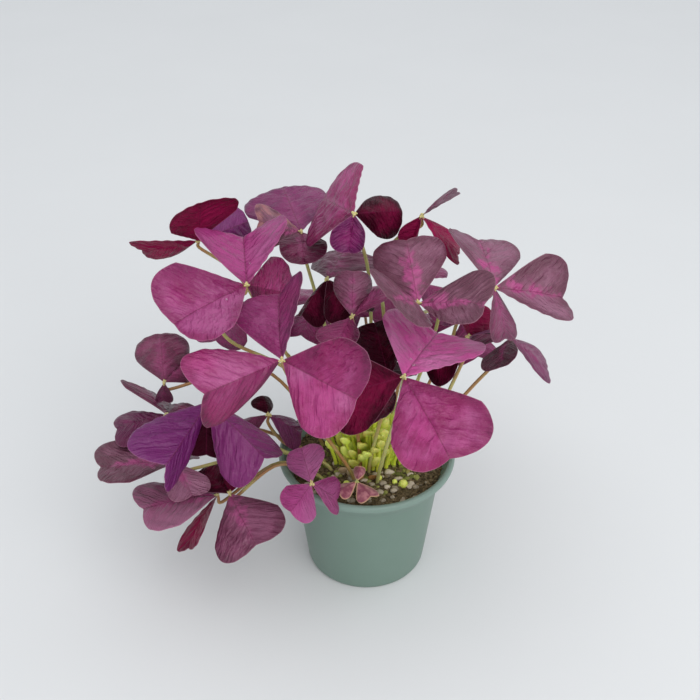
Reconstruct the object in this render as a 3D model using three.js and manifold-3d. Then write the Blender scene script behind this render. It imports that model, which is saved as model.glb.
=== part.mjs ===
// Purple shamrock (Oxalis triangularis) in its nursery pot.
// Millimetres, +Z up. The origin is the middle of the pot's base.

import * as THREE from 'three';
import { mergeVertices } from 'three/addons/utils/BufferGeometryUtils.js';
import Module from 'manifold-3d';

const wasm = await Module();
wasm.setup();

// ---------------------------------------------------------------- driving dimensions

const GAP = 0.3; // clearance between pieces that touch

const POT = {
  baseRadius: 36,
  shoulderRadius: 43.5, // where the wall starts to flare
  shoulderHeight: 62,
  rimRadius: 52.5,
  rimHeight: 80,
  lipDepth: 4.5, // height of the rolled lip
  wall: 1.8,
  floor: 2.2,
  footRing: 1.2, // the base stands on a ring this high round the middle pad
  facets: 32,
  drains: 6,
  drainRadius: 4,
  drainCircle: 27,
};

const SOIL = {
  top: 71, // height at the wall
  crown: 3, // rise of the middle
  facets: 24,
};

const STALK = {
  radius: 1.1,
  sides: 5,
  steps: 7,
  sunk: 9, // length that stands in the soil
  straight: 6, // length below the hub that runs square to the leaf
};

const HUB_RADIUS = 2.1;

const BLADE = {
  thickness: 0.8,
  halfWidth: 0.59, // of the blade's length
  start: 0.03, // of the blade's length, inside the hub
  rows: 2,
  columns: 3, // on each side of the midrib
  arch: 0.1, // sag of the midrib, of the blade's length
  wave: 0.035, // rise and fall of the outer edge, of the blade's length
};

// Half the outline of a leaflet of unit length: a Bezier curve from the notch at
// the midrib's end, round the corner, to the top of the straight side.
const HALF_OUTLINE = new THREE.CubicBezierCurve(
  new THREE.Vector2(0, 1.04),
  new THREE.Vector2(0.35, 1.13),
  new THREE.Vector2(1.14, 1.2),
  new THREE.Vector2(0.94, 0.7),
);

const COLOURS = {
  pot: 0x6f8a7c,
  soil: 0x3d2c20,
  stalk: 0xa3a54a,
  leaf: 0x7d2458,
  youngLeaf: 0x9a5468,
  shoot: 0x9aa83c,
};

// ---------------------------------------------------------------- the leaves
//
// hub: where the three leaflets meet.
// root: where the stalk leaves the soil, [x, y].
// via: points that the stalk passes on its way.
// blades: [heading, rise, roll, fold, length]. Heading turns from +X towards +Y, rise is
// above level, roll lowers the right side, and fold lowers both sides from the midrib.

const LEAVES = [
  { hub: [-63, -21, 205], root: [-19, 6], via: [[-44, 14, 125], [-80, 6, 156], [-84, 4, 182]],
    blades: [[97, 5, -5, -25, 48], [228, 0, -25, -28, 46], [47, -32, 71, 23, 39]] },
  { hub: [-43, -68, 190], root: [-8, -20], via: [[-29, -38, 130]],
    blades: [[96, 20, -37, -24, 41], [220, 0, -60, 36, 42], [320, -2, 51, -20, 44]] },
  { hub: [-98, 54, 191], root: [-20, 16], via: [[-58, 36, 145], [-76, 40, 178]],
    blades: [[177, -15, -135, 0, 34], [288, 62, 12, 15, 38], [40, 2, 58, 42, 35]] },
  { hub: [-38, 52, 198], root: [-8, 8], via: [[-24, 36, 140]],
    blades: [[106, 10, -5, 18, 48], [202, 26, -35, 10, 26], [275, -10, 0, -30, 27]] },
  { hub: [-8, 4, 233], root: [-2, 12], via: [[2, 18, 150], [0, 22, 190]],
    blades: [[113, -13, -50, 7, 48], [32, -11, 53, 44, 31], [261, -37, 2, -40, 21]] },
  { hub: [25, -26, 197], root: [9, -8], via: [[28, 8, 120], [40, 14, 165]],
    blades: [[100, 35, -12, 15, 36], [330, 18, 15, -10, 36], [244, 32, -32, -6, 36]] },
  { hub: [29, 30, 219], root: [10, 8], via: [[10, 20, 150], [8, 24, 194], [17, 28, 207]],
    blades: [[12, 36, -20, 0, 22], [346, -42, -8, 0, 29], [235, -50, 0, -50, 16]] },
  { hub: [65, -17, 201], root: [20, -5], via: [[42, 4, 125], [52, 14, 165]],
    blades: [[96, 14, 21, -8, 38], [8, -12, 32, -27, 38], [292, -50, -36, 2, 26]] },
  { hub: [55, -2, 161], root: [24, -14], via: [[44, -10, 125]],
    blades: [[63, 20, 13, 44, 24], [10, 15, -35, 10, 20], [200, -30, 0, 20, 28]] },
  { hub: [80, 6, 155], root: [28, 2], via: [[60, 4, 122]],
    blades: [[247, -13, 36, -11, 22], [355, -38, -3, 5, 29], [115, -15, 0, 30, 28]] },
  { hub: [17, -59, 174], root: [6, -22], via: [[10, -38, 112], [15, -51, 148]],
    blades: [[66, -2, 10, -8, 50], [298, -23, 10, -19, 47], [200, -5, -52, -10, 37]] },
  { hub: [11, -31, 152], root: [1, -13], via: [[7, -22, 118]],
    blades: [[106, 36, -12, 41, 33], [255, -18, 48, -8, 24], [85, -10, 0, 20, 28]] },
  { hub: [-9, -22, 186], root: [-4, -10], via: [[-7, -16, 130]],
    blades: [[88, 40, 2, 40, 25], [26, 31, -20, 0, 22], [246, -12, 4, -15, 21]] },
  { hub: [-23, 24, 183], root: [-13, -1], via: [[-18, 14, 130]],
    blades: [[74, 1, -6, 21, 39], [220, -40, 0, 40, 24], [305, -10, 0, 20, 28]] },
  { hub: [-90, -14, 125], root: [-30, -11], via: [[-63, -16, 100]],
    blades: [[251, -8, -57, 42, 47], [322, -23, 11, 39, 44], [262, -66, 0, 10, 30]] },
  { hub: [-121, 22, 113], root: [-27, 13], via: [[-62, 36, 112]],
    blades: [[100, 22, 0, 32, 36], [272, -35, 0, 30, 11], [62, 5, 0, 50, 22]] },
  { hub: [-118, 6, 101], root: [-34, 1], via: [[-62, 10, 86]],
    blades: [[194, -7, 1, 6, 29], [122, 2, 42, 6, 33], [70, -15, 0, 20, 24]] },
  { hub: [-110, -21, 87], root: [-33, -8], via: [[-54, -12, 88]],
    blades: [[195, 11, 9, -4, 41], [300, -20, 0, 0, 22], [100, -25, 0, 10, 24]] },
  { hub: [-87, -27, 68], root: [-30, -16], via: [[-51, -19, 85]],
    blades: [[204, 9, 5, 1, 42], [241, -23, 47, -7, 34], [105, -15, 0, 20, 28]] },
  { hub: [-79, -33, 74], root: [-25, -22], via: [[-50, -25, 89]],
    blades: [[295, -7, 26, -3, 38], [85, 25, 0, 40, 24], [135, 5, 0, 10, 26]] },
  { hub: [-31, -51, 97], root: [-19, -29], via: [[-27, -40, 88]],
    blades: [[108, 25, -20, 25, 22], [242, -8, -42, -15, 21], [13, -44, 25, -10, 20]] },
  { hub: [-58, 6, 101], root: [-22, -10], via: [[-50, 2, 84]],
    blades: [[1, -35, 8, 19, 23], [107, 15, 9, 36, 15], [200, -5, 0, 30, 20]] },
  { hub: [30, 75, 152], root: [14, 22], via: [[24, 48, 118]],
    blades: [[85, -8, 0, 15, 38], [205, -5, 0, 15, 34], [325, -10, 0, 15, 34]] },
  { hub: [0, 106, 116], root: [2, 29], via: [[2, 62, 108]],
    blades: [[95, -20, 0, 15, 38], [215, -5, 0, 15, 34], [330, -5, 0, 15, 34]] },
  { hub: [-30, 84, 132], root: [-9, 24], via: [[-18, 52, 108]],
    blades: [[130, -10, 0, 15, 36], [15, 0, 0, 15, 32], [250, -10, 0, 15, 30]] },
  { hub: [60, 70, 126], root: [22, 15], via: [[42, 42, 106]],
    blades: [[50, -15, 0, 15, 36], [165, -5, 0, 15, 30], [285, -10, 0, 15, 30]] },
  { hub: [-78, 70, 134], root: [-18, 27], via: [[-48, 52, 112]],
    blades: [[125, -15, 0, 15, 34], [5, 0, 0, 15, 28], [245, -5, 0, 15, 30]] },
];

// A small leaf that has just opened, low at the front, with its own short stalk.
const YOUNG_LEAF = {
  hub: [-6, -33, 83],
  root: [-2, -31],
  via: [],
  blades: [[212, -5, 0, 20, 12], [305, -4, 0, 20, 13], [80, 30, 0, 45, 9]],
};

// Pale shoots that have not unfolded yet, on one low crown in the middle of the pot.
// tips: where each shoot ends.
const SHOOTS = {
  crown: [1, -1],
  crownRadius: 5,
  crownHeight: 3,
  radius: 1.2,
  bud: 2.4,
  budLength: 4.5,
  sides: 5,
  tips: [[-9, -3, 99], [-3, -8, 106], [5, -7, 110], [10, -2, 100], [2, 5, 112], [-5, 4, 104]],
};

// ---------------------------------------------------------------- shared helpers

const UP = new THREE.Vector3(0, 0, 1);
const radians = THREE.MathUtils.degToRad;

// A closed three.js geometry as a solid that can be joined and cut.
function solidFrom(geometry) {
  const bare = geometry.clone();
  bare.deleteAttribute('normal');
  bare.deleteAttribute('uv');
  const merged = mergeVertices(bare, 1e-4);
  return new wasm.Manifold(new wasm.Mesh({
    numProp: 3,
    vertProperties: new Float32Array(merged.attributes.position.array),
    triVerts: new Uint32Array(merged.index.array),
  }));
}

function geometryFrom(solid) {
  const mesh = solid.getMesh();
  const geometry = new THREE.BufferGeometry();
  geometry.setAttribute('position', new THREE.BufferAttribute(mesh.vertProperties, 3));
  geometry.setIndex(new THREE.BufferAttribute(mesh.triVerts, 1));
  return geometry;
}

function tubeAlong(curve, radius, sides, steps) {
  const section = new THREE.Shape();
  for (let k = 0; k < sides; k++) {
    const angle = (2 * Math.PI * k) / sides;
    const point = [radius * Math.cos(angle), radius * Math.sin(angle)];
    if (k === 0) section.moveTo(...point);
    else section.lineTo(...point);
  }
  section.closePath();
  return new THREE.ExtrudeGeometry(section, { steps, extrudePath: curve, curveSegments: 1 });
}

// A lathe about +Z from [radius, height] points.
function turned(points, facets) {
  const profile = points.map(([radius, height]) => new THREE.Vector2(radius, height));
  return new THREE.LatheGeometry(profile, facets).rotateX(Math.PI / 2);
}

function addMesh(group, name, geometry, colour, roughness) {
  const material = new THREE.MeshStandardMaterial({ color: colour, roughness, metalness: 0 });
  const mesh = new THREE.Mesh(geometry, material);
  mesh.name = name;
  group.add(mesh);
  return mesh;
}

// ---------------------------------------------------------------- a leaflet

// A point of the leaflet's middle surface, along (0 to 1) and across (-1 to 1).
function bladePoint(hub, axes, fold, length, phase, along, across) {
  const side = Math.abs(across);
  const edge = HALF_OUTLINE.getPoint(side);
  const reach = along * edge.y * length;
  const belly = 1 + 0.06 * Math.sin(Math.PI * along) * side;
  const spread = along * edge.x * BLADE.halfWidth * length * belly;
  const hang = radians(fold * (0.75 + 0.35 * along * side));
  const sag = BLADE.arch * (reach * 0.6 - (reach * reach) / length);
  const wave = BLADE.wave * length * along * along * side * Math.sin(4 * across + phase);
  return hub.clone()
    .addScaledVector(axes.forward, reach)
    .addScaledVector(axes.right, Math.sign(across) * spread * Math.cos(hang))
    .addScaledVector(axes.up, sag + wave - spread * Math.sin(hang));
}

function bladeAxes(heading, rise, roll) {
  const h = radians(heading);
  const r = radians(rise);
  const forward = new THREE.Vector3(Math.cos(r) * Math.cos(h), Math.cos(r) * Math.sin(h), Math.sin(r));
  const level = new THREE.Vector3(Math.sin(h), -Math.cos(h), 0);
  const over = new THREE.Vector3().crossVectors(level, forward);
  const right = level.clone().multiplyScalar(Math.cos(radians(roll)))
    .addScaledVector(over, -Math.sin(radians(roll)));
  return { forward, right, up: new THREE.Vector3().crossVectors(right, forward) };
}

// The sheet's face normal, from points a little way off on both sides.
function bladeNormal(pointAt, along, across) {
  const step = 0.04;
  const clamp = (value) => THREE.MathUtils.clamp(value, -1, 1);
  const outward = pointAt(Math.min(1, along + step), across).sub(pointAt(along - step, across));
  const sideways = pointAt(along, clamp(across + step)).sub(pointAt(along, clamp(across - step)));
  return sideways.cross(outward).normalize();
}

// One leaflet as a thin closed sheet: two faces of the same triangles, and their edge.
// The first row, inside the hub, has three points: left, midrib and right.
function leaflet(hubPlace, [heading, rise, roll, fold, length], phase) {
  const hub = new THREE.Vector3(...hubPlace);
  const axes = bladeAxes(heading, rise, roll);
  const pointAt = (along, across) => bladePoint(hub, axes, fold, length, phase, along, across);
  const columns = 2 * BLADE.columns + 1;
  const places = [[BLADE.start, -1], [BLADE.start, 0], [BLADE.start, 1]];
  for (let i = 1; i <= BLADE.rows; i++) {
    const along = BLADE.start + ((1 - BLADE.start) * i) / BLADE.rows;
    for (let j = 0; j < columns; j++) {
      places.push([along, j / BLADE.columns - 1]);
    }
  }
  const at = (i, j) => (i === 0 ? 1 + Math.sign(j - BLADE.columns) : 3 + (i - 1) * columns + j);

  const faces = [[], []];
  for (const [along, across] of places) {
    const offset = bladeNormal(pointAt, along, across).multiplyScalar(BLADE.thickness / 2);
    faces[0].push(pointAt(along, across).add(offset));
    faces[1].push(pointAt(along, across).sub(offset));
  }

  const count = places.length;
  const index = [];
  const triangle = (a, b, c) => {
    if (a !== b && b !== c && c !== a) index.push(a, b, c);
  };
  const wall = (a, b) => index.push(a, b, count + b, a, count + b, count + a);
  for (let i = 0; i < BLADE.rows; i++) {
    for (let j = 0; j < columns - 1; j++) {
      const [a, b, c, d] = [at(i, j), at(i, j + 1), at(i + 1, j + 1), at(i + 1, j)];
      triangle(a, b, c);
      triangle(a, c, d);
      if (a !== b) index.push(count + a, count + c, count + b);
      index.push(count + a, count + d, count + c);
    }
    wall(at(i, 0), at(i + 1, 0));
    wall(at(i + 1, columns - 1), at(i, columns - 1));
  }
  wall(1, 0);
  wall(2, 1);
  for (let j = 0; j < columns - 1; j++) {
    wall(at(BLADE.rows, j), at(BLADE.rows, j + 1));
  }

  const geometry = new THREE.BufferGeometry();
  const positions = faces.flat().flatMap((p) => [p.x, p.y, p.z]);
  geometry.setAttribute('position', new THREE.Float32BufferAttribute(positions, 3));
  geometry.setIndex(index);
  return geometry;
}

function leafGeometry(leaf, number) {
  const knob = new THREE.OctahedronGeometry(HUB_RADIUS, 0);
  knob.translate(...leaf.hub);
  let solid = solidFrom(knob);
  leaf.blades.forEach((blade, k) => {
    solid = solid.add(solidFrom(leaflet(leaf.hub, blade, number * 1.7 + k * 2.1)));
  });
  return geometryFrom(solid);
}

// ---------------------------------------------------------------- a stalk

// The stalk meets the hub square to the leaf: along the middle of its blades' normals.
function stalkCurve(leaf) {
  const hub = new THREE.Vector3(...leaf.hub);
  const [x, y] = leaf.root;
  const approach = new THREE.Vector3();
  for (const [heading, rise, roll] of leaf.blades) {
    approach.add(bladeAxes(heading, rise, roll).up);
  }
  approach.normalize().add(UP).normalize();
  return new THREE.CatmullRomCurve3([
    new THREE.Vector3(x, y, SOIL.top - STALK.sunk),
    new THREE.Vector3(x, y, SOIL.top + SOIL.crown),
    ...leaf.via.map((place) => new THREE.Vector3(...place)),
    hub.clone().addScaledVector(approach, -STALK.straight),
    hub.clone().addScaledVector(approach, -(HUB_RADIUS + GAP)),
  ], false, 'centripetal');
}

function stalkGeometry(leaf) {
  return tubeAlong(stalkCurve(leaf), STALK.radius, STALK.sides, STALK.steps);
}

// ---------------------------------------------------------------- young growth

function youngStalk(clearance) {
  const [x, y] = YOUNG_LEAF.root;
  const curve = new THREE.CatmullRomCurve3([
    new THREE.Vector3(x, y, SOIL.top - STALK.sunk - clearance),
    new THREE.Vector3(x, y, SOIL.top + SOIL.crown),
    new THREE.Vector3(...YOUNG_LEAF.hub),
  ], false, 'centripetal');
  return tubeAlong(curve, STALK.radius + clearance, STALK.sides, 3);
}

function youngLeafGeometry() {
  const blades = solidFrom(leafGeometry(YOUNG_LEAF, 40));
  return geometryFrom(blades.add(solidFrom(youngStalk(0))));
}

// The crown is a squat ball, half of it in the soil.
function crownBall(clearance) {
  const ball = new THREE.SphereGeometry(1, 10, 6).rotateX(Math.PI / 2);
  const width = SHOOTS.crownRadius + clearance;
  ball.scale(width, width, SHOOTS.crownHeight + clearance);
  return ball.translate(...SHOOTS.crown, SOIL.top + SOIL.crown - 0.5);
}

function shootsGeometry() {
  const [x, y] = SHOOTS.crown;
  let solid = solidFrom(crownBall(0));
  for (const place of SHOOTS.tips) {
    const tip = new THREE.Vector3(...place);
    const foot = new THREE.Vector3(x + 0.3 * (tip.x - x), y + 0.3 * (tip.y - y), SOIL.top + SOIL.crown);
    const bend = new THREE.Vector3(x + 0.55 * (tip.x - x), y + 0.55 * (tip.y - y), 0.5 * (foot.z + tip.z));
    const curve = new THREE.CatmullRomCurve3([foot, bend, tip]);
    const bud = new THREE.IcosahedronGeometry(1, 0);
    bud.scale(SHOOTS.bud, SHOOTS.bud, SHOOTS.budLength);
    const lean = tip.clone().sub(bend).normalize();
    bud.applyQuaternion(new THREE.Quaternion().setFromUnitVectors(UP, lean));
    bud.translate(tip.x, tip.y, tip.z);
    solid = solid.add(solidFrom(tubeAlong(curve, SHOOTS.radius, SHOOTS.sides, 2)));
    solid = solid.add(solidFrom(bud));
  }
  return geometryFrom(solid);
}

// ---------------------------------------------------------------- pot and soil

function wallRadius(height) {
  const { baseRadius, shoulderRadius, shoulderHeight, rimRadius, rimHeight, lipDepth } = POT;
  if (height <= shoulderHeight) {
    return THREE.MathUtils.mapLinear(height, 0, shoulderHeight, baseRadius, shoulderRadius);
  }
  const t = Math.min(1, (height - shoulderHeight) / (rimHeight - lipDepth - shoulderHeight));
  return shoulderRadius + (rimRadius - 2 - shoulderRadius) * t * t * (1.5 - 0.5 * t);
}

function potGeometry() {
  const { baseRadius, rimRadius, rimHeight, lipDepth, wall, floor, footRing } = POT;
  const steps = [2, POT.shoulderHeight, 69, rimHeight - lipDepth];
  const outside = steps.map((z) => [wallRadius(z), z]);
  const inside = steps.slice(1).reverse().map((z) => [wallRadius(z) - wall, z]);
  const profile = [
    [0, 0],
    [18, 0],
    [19, footRing],
    [baseRadius - 6, footRing],
    [baseRadius - 5, 0],
    [baseRadius - 1, 0],
    ...outside,
    [rimRadius - 0.6, rimHeight - lipDepth],
    [rimRadius, rimHeight - lipDepth + 1.2],
    [rimRadius, rimHeight - 1.2],
    [rimRadius - 1.2, rimHeight],
    [rimRadius - 3, rimHeight - 0.3],
    [rimRadius - 3.8, rimHeight - 1.6],
    ...inside,
    [wallRadius(8) - wall, 8],
    [wallRadius(floor + footRing) - wall - 1.5, floor + footRing],
    [0, floor + footRing],
  ];
  let pot = solidFrom(turned(profile, POT.facets));
  for (let k = 0; k < POT.drains; k++) {
    const angle = (2 * Math.PI * (k + 0.5)) / POT.drains;
    const hole = new THREE.CylinderGeometry(POT.drainRadius, POT.drainRadius, 20, 10).rotateX(Math.PI / 2);
    hole.translate(POT.drainCircle * Math.cos(angle), POT.drainCircle * Math.sin(angle), 0);
    pot = pot.subtract(solidFrom(hole));
  }
  return geometryFrom(pot);
}

function soilGeometry() {
  const bottom = POT.floor + POT.footRing + GAP;
  const clear = (z) => wallRadius(z) - POT.wall - 2 * GAP;
  const profile = [
    [0, bottom],
    [clear(bottom) - 1.5, bottom],
    [clear(8), 8],
    [clear(POT.shoulderHeight), POT.shoulderHeight],
    [clear(68) - 0.2, 68],
    [clear(SOIL.top) - 0.4, SOIL.top],
    [30, SOIL.top + 0.45 * SOIL.crown],
    [0, SOIL.top + SOIL.crown],
  ];
  let soil = solidFrom(turned(profile, SOIL.facets));
  for (const leaf of LEAVES) {
    const hole = tubeAlong(stalkCurve(leaf), STALK.radius + GAP + 0.1, STALK.sides, STALK.steps);
    soil = soil.subtract(solidFrom(hole));
  }
  soil = soil.subtract(solidFrom(youngStalk(GAP)));
  soil = soil.subtract(solidFrom(crownBall(GAP)));
  return geometryFrom(soil);
}

// ---------------------------------------------------------------- the plant in its pot

const group = new THREE.Group();
addMesh(group, 'pot', potGeometry(), COLOURS.pot, 0.55);
addMesh(group, 'soil', soilGeometry(), COLOURS.soil, 0.95);
LEAVES.forEach((leaf, k) => {
  const number = String(k + 1).padStart(2, '0');
  addMesh(group, `leaf_${number}`, leafGeometry(leaf, k), COLOURS.leaf, 0.6);
  addMesh(group, `stalk_${number}`, stalkGeometry(leaf), COLOURS.stalk, 0.6);
});
addMesh(group, 'young_leaf', youngLeafGeometry(), COLOURS.youngLeaf, 0.6);
addMesh(group, 'young_shoots', shootsGeometry(), COLOURS.shoot, 0.6);

export default group;
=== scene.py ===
"""Purple shamrock (Oxalis triangularis) in its nursery pot: fine pieces and finishes.

The tables are in millimetres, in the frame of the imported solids. Meshes are made in metres.
"""

import math

import bmesh
import bpy
import numpy as np
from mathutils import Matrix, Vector, noise


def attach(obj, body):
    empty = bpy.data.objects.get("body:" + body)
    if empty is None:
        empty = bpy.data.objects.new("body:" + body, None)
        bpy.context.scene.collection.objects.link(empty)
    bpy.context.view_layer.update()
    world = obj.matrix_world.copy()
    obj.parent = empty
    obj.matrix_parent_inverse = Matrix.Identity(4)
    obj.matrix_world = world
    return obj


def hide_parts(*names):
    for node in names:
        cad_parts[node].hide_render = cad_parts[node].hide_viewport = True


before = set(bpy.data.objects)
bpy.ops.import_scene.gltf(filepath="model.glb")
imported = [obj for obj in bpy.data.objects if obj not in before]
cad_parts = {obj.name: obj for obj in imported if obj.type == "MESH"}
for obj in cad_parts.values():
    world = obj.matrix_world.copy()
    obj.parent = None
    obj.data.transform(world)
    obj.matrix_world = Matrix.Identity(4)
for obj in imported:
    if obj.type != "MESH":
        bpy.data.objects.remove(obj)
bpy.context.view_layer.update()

MM = 0.001
rng = np.random.default_rng(27)

# ---------------------------------------------------------------- the solids' own sizes, in mm

POT = {
    "base": 36.0, "shoulder": 43.5, "shoulder_height": 62.0, "rim": 52.5, "height": 80.0,
    "lip": 4.5, "wall": 1.8, "floor": 2.2, "foot": 1.2,
    "drains": 6, "drain_radius": 4.0, "drain_circle": 27.0,
}
SOIL = {"top": 71.0, "crown": 3.0, "dome": 30.0, "dome_drop": 0.55, "edge_drop": 0.45}
STALK = {"sunk": 9.0, "straight": 6.0}
HUB_REACH = 2.4  # from the hub's centre to the end of the solid stalk
BLADE = {
    "half_width": 0.59, "start": 0.03, "arch": 0.1, "arch_rise": 0.6, "belly": 0.06,
    "wave": 0.035, "waves": 4, "fold_near": 0.75, "fold_out": 0.35,
}
HALF_OUTLINE = np.array([(0.0, 1.04), (0.35, 1.13), (1.14, 1.2), (0.94, 0.7)])
PHASE = {"leaf": 1.7, "blade": 2.1}  # how far the wave moves on from one to the next

# Each leaf: hub, root in the soil, points that the stalk passes, and its three blades as
# (heading, rise, roll, fold, length), with the angles in degrees.
LEAVES = [
    ((-63, -21, 205), (-19, 6), [(-44, 14, 125), (-80, 6, 156), (-84, 4, 182)],
     [(97, 5, -5, -25, 48), (228, 0, -25, -28, 46), (47, -32, 71, 23, 39)]),
    ((-43, -68, 190), (-8, -20), [(-29, -38, 130)],
     [(96, 20, -37, -24, 41), (220, 0, -60, 36, 42), (320, -2, 51, -20, 44)]),
    ((-98, 54, 191), (-20, 16), [(-58, 36, 145), (-76, 40, 178)],
     [(177, -15, -135, 0, 34), (288, 62, 12, 15, 38), (40, 2, 58, 42, 35)]),
    ((-38, 52, 198), (-8, 8), [(-24, 36, 140)],
     [(106, 10, -5, 18, 48), (202, 26, -35, 10, 26), (275, -10, 0, -30, 27)]),
    ((-8, 4, 233), (-2, 12), [(2, 18, 150), (0, 22, 190)],
     [(113, -13, -50, 7, 48), (32, -11, 53, 44, 31), (261, -37, 2, -40, 21)]),
    ((25, -26, 197), (9, -8), [(28, 8, 120), (40, 14, 165)],
     [(100, 35, -12, 15, 36), (330, 18, 15, -10, 36), (244, 32, -32, -6, 36)]),
    ((29, 30, 219), (10, 8), [(10, 20, 150), (8, 24, 194), (17, 28, 207)],
     [(12, 36, -20, 0, 22), (346, -42, -8, 0, 29), (235, -50, 0, -50, 16)]),
    ((65, -17, 201), (20, -5), [(42, 4, 125), (52, 14, 165)],
     [(96, 14, 21, -8, 38), (8, -12, 32, -27, 38), (292, -50, -36, 2, 26)]),
    ((55, -2, 161), (24, -14), [(44, -10, 125)],
     [(63, 20, 13, 44, 24), (10, 15, -35, 10, 20), (200, -30, 0, 20, 28)]),
    ((80, 6, 155), (28, 2), [(60, 4, 122)],
     [(247, -13, 36, -11, 22), (355, -38, -3, 5, 29), (115, -15, 0, 30, 28)]),
    ((17, -59, 174), (6, -22), [(10, -38, 112), (15, -51, 148)],
     [(66, -2, 10, -8, 50), (298, -23, 10, -19, 47), (200, -5, -52, -10, 37)]),
    ((11, -31, 152), (1, -13), [(7, -22, 118)],
     [(106, 36, -12, 41, 33), (255, -18, 48, -8, 24), (85, -10, 0, 20, 28)]),
    ((-9, -22, 186), (-4, -10), [(-7, -16, 130)],
     [(88, 40, 2, 40, 25), (26, 31, -20, 0, 22), (246, -12, 4, -15, 21)]),
    ((-23, 24, 183), (-13, -1), [(-18, 14, 130)],
     [(74, 1, -6, 21, 39), (220, -40, 0, 40, 24), (305, -10, 0, 20, 28)]),
    ((-90, -14, 125), (-30, -11), [(-63, -16, 100)],
     [(251, -8, -57, 42, 47), (322, -23, 11, 39, 44), (262, -66, 0, 10, 30)]),
    ((-121, 22, 113), (-27, 13), [(-62, 36, 112)],
     [(100, 22, 0, 32, 36), (272, -35, 0, 30, 11), (62, 5, 0, 50, 22)]),
    ((-118, 6, 101), (-34, 1), [(-62, 10, 86)],
     [(194, -7, 1, 6, 29), (122, 2, 42, 6, 33), (70, -15, 0, 20, 24)]),
    ((-110, -21, 87), (-33, -8), [(-54, -12, 88)],
     [(195, 11, 9, -4, 41), (300, -20, 0, 0, 22), (100, -25, 0, 10, 24)]),
    ((-87, -27, 68), (-30, -16), [(-51, -19, 85)],
     [(204, 9, 5, 1, 42), (241, -23, 47, -7, 34), (105, -15, 0, 20, 28)]),
    ((-79, -33, 74), (-25, -22), [(-50, -25, 89)],
     [(295, -7, 26, -3, 38), (85, 25, 0, 40, 24), (135, 5, 0, 10, 26)]),
    ((-31, -51, 97), (-19, -29), [(-27, -40, 88)],
     [(108, 25, -20, 25, 22), (242, -8, -42, -15, 21), (13, -44, 25, -10, 20)]),
    ((-58, 6, 101), (-22, -10), [(-50, 2, 84)],
     [(1, -35, 8, 19, 23), (107, 15, 9, 36, 15), (200, -5, 0, 30, 20)]),
    ((30, 75, 152), (14, 22), [(24, 48, 118)],
     [(85, -8, 0, 15, 38), (205, -5, 0, 15, 34), (325, -10, 0, 15, 34)]),
    ((0, 106, 116), (2, 29), [(2, 62, 108)],
     [(95, -20, 0, 15, 38), (215, -5, 0, 15, 34), (330, -5, 0, 15, 34)]),
    ((-30, 84, 132), (-9, 24), [(-18, 52, 108)],
     [(130, -10, 0, 15, 36), (15, 0, 0, 15, 32), (250, -10, 0, 15, 30)]),
    ((60, 70, 126), (22, 15), [(42, 42, 106)],
     [(50, -15, 0, 15, 36), (165, -5, 0, 15, 30), (285, -10, 0, 15, 30)]),
    ((-78, 70, 134), (-18, 27), [(-48, 52, 112)],
     [(125, -15, 0, 15, 34), (5, 0, 0, 15, 28), (245, -5, 0, 15, 30)]),
]
# The young leaf at the front rim, in the same way.
YOUNG_LEAF = ((-6, -33, 83), (-2, -31), [],
              [(212, -5, 0, 20, 12), (305, -4, 0, 20, 13), (80, 30, 0, 45, 9)])
YOUNG_INDEX = 40  # sets the wave of the young leaf's blades
# The crown that the shoots rise from, and their tips.
SHOOTS = {
    "crown": (1, -1), "crown_radius": 5.0, "crown_height": 3.0,
    "tips": [(-9, -3, 99), (-3, -8, 106), (5, -7, 110), (10, -2, 100), (2, 5, 112), (-5, 4, 104)],
}

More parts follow.
